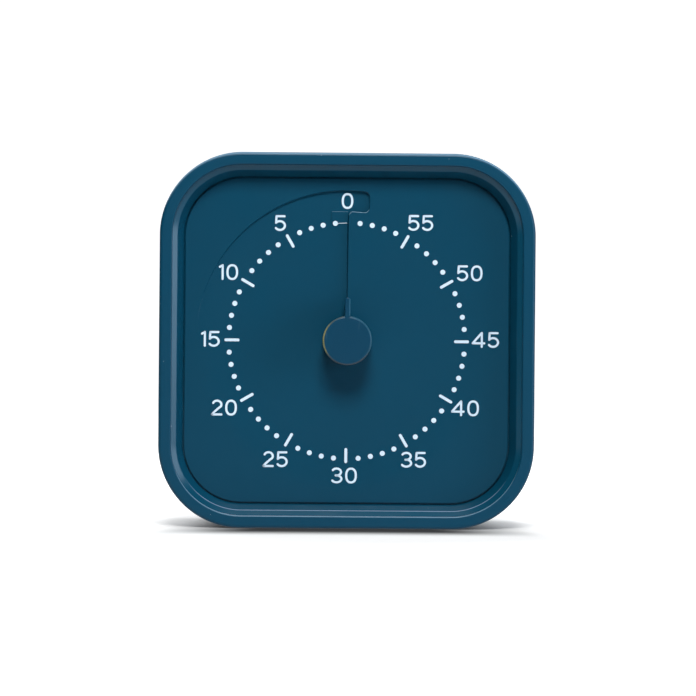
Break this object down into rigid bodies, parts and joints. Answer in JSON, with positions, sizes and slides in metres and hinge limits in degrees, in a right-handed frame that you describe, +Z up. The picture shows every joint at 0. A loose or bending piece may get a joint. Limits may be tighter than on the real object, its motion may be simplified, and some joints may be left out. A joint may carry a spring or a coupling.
{
  "type": "visual countdown timer",
  "caption": "Rounded-square desk timer: a centre knob with a pointer fin draws a coloured disk out of a slot in a recessed minute dial; soft outer cover, quartz movement, battery door behind.",
  "frame": {"origin": "middle of the footprint on the surface that the timer stands on", "axes": "+Z up, the dial faces -Y, +X to the right as seen from the front"},
  "size_m": [0.092, 0.044, 0.092],
  "materials": {
    "soft_cover": "matte silicone with a faint sparkle",
    "case": "fine matte moulding",
    "dial": "fine matte moulding with printed marks",
    "dial_print": "screen-printed ink, minute marks and numbers",
    "disk": "smooth sheet",
    "knob": "satin moulding",
    "steel": "ground",
    "brass": "turned",
    "gear_plastic": "natural acetal",
    "magnet": "sintered",
    "copper_wire": "enamelled wire",
    "movement_housing": "moulded, black",
    "screw_steel": "zinc plated",
    "board": "solder mask",
    "black_plastic": "moulded",
    "slider": "satin moulding",
    "cell_jacket": "printed sleeve, plain",
    "nickel": "nickel plated spring steel"
  },
  "bodies": {
    "case": {"silicone_cover": "soft_cover", "front_case": "case", "rear_case": "case", "dial_face": "dial", "movement_plate": "movement_housing", "arbor_bush": "brass", "intermediate_arbor": "steel", "movement_cover": "movement_housing", "movement_screws": "screw_steel", "stator": "steel", "coil_core": "steel", "coil_bobbin": "gear_plastic", "coil_winding": "copper_wire", "circuit_board": "board", "control_chip": "black_plastic", "quartz_crystal": "steel", "board_screws": "screw_steel", "buzzer": "black_plastic", "switch_body": "black_plastic", "battery_cell": "cell_jacket", "contact_positive": "nickel", "contact_negative": "nickel", "case_screws": "screw_steel"},
    "knob": {"knob": "knob", "arbor": "steel", "arbor_clip": "steel", "clutch_spring": "steel", "centre_wheel": "gear_plastic"},
    "disk": {"timer_disk": "disk"},
    "intermediate": {"intermediate_wheel": "gear_plastic"},
    "rotor": {"rotor_pinion": "gear_plastic", "rotor_magnet": "magnet"},
    "slider": {"alert_slider": "slider"},
    "door": {"battery_door": "case"}
  },
  "joints": [
    {"name": "knob_turn", "type": "hinge", "parent": "case", "child": "knob", "pos_m": [0, 0, 0.046], "axis": [0, -1, 0], "range_deg": [0, 360]},
    {"name": "disk_rise", "type": "slide", "parent": "knob", "child": "disk", "axis": [0, -1, 0], "range_m": [0, 0.001]},
    {"name": "intermediate_spin", "type": "hinge", "parent": "case", "child": "intermediate", "pos_m": [-0.012, 0, 0.046], "axis": [0, -1, 0], "range_deg": [-1440, 0]},
    {"name": "rotor_spin", "type": "hinge", "parent": "case", "child": "rotor", "pos_m": [-0.012, 0, 0.058], "axis": [0, -1, 0], "range_deg": [0, 5760]},
    {"name": "alert_switch", "type": "slide", "parent": "case", "child": "slider", "axis": [1, 0, 0], "range_m": [0, 0.003]},
    {"name": "battery_door_lift", "type": "slide", "parent": "case", "child": "door", "axis": [0, 1, 0], "range_m": [0, 0.025]}
  ],
  "couplings": [
    {"joint": "disk_rise", "follows": "knob_turn", "m_per_rad": 0.00015915},
    {"joint": "intermediate_spin", "follows": "knob_turn", "ratio": -4},
    {"joint": "rotor_spin", "follows": "knob_turn", "ratio": 16}
  ]
}
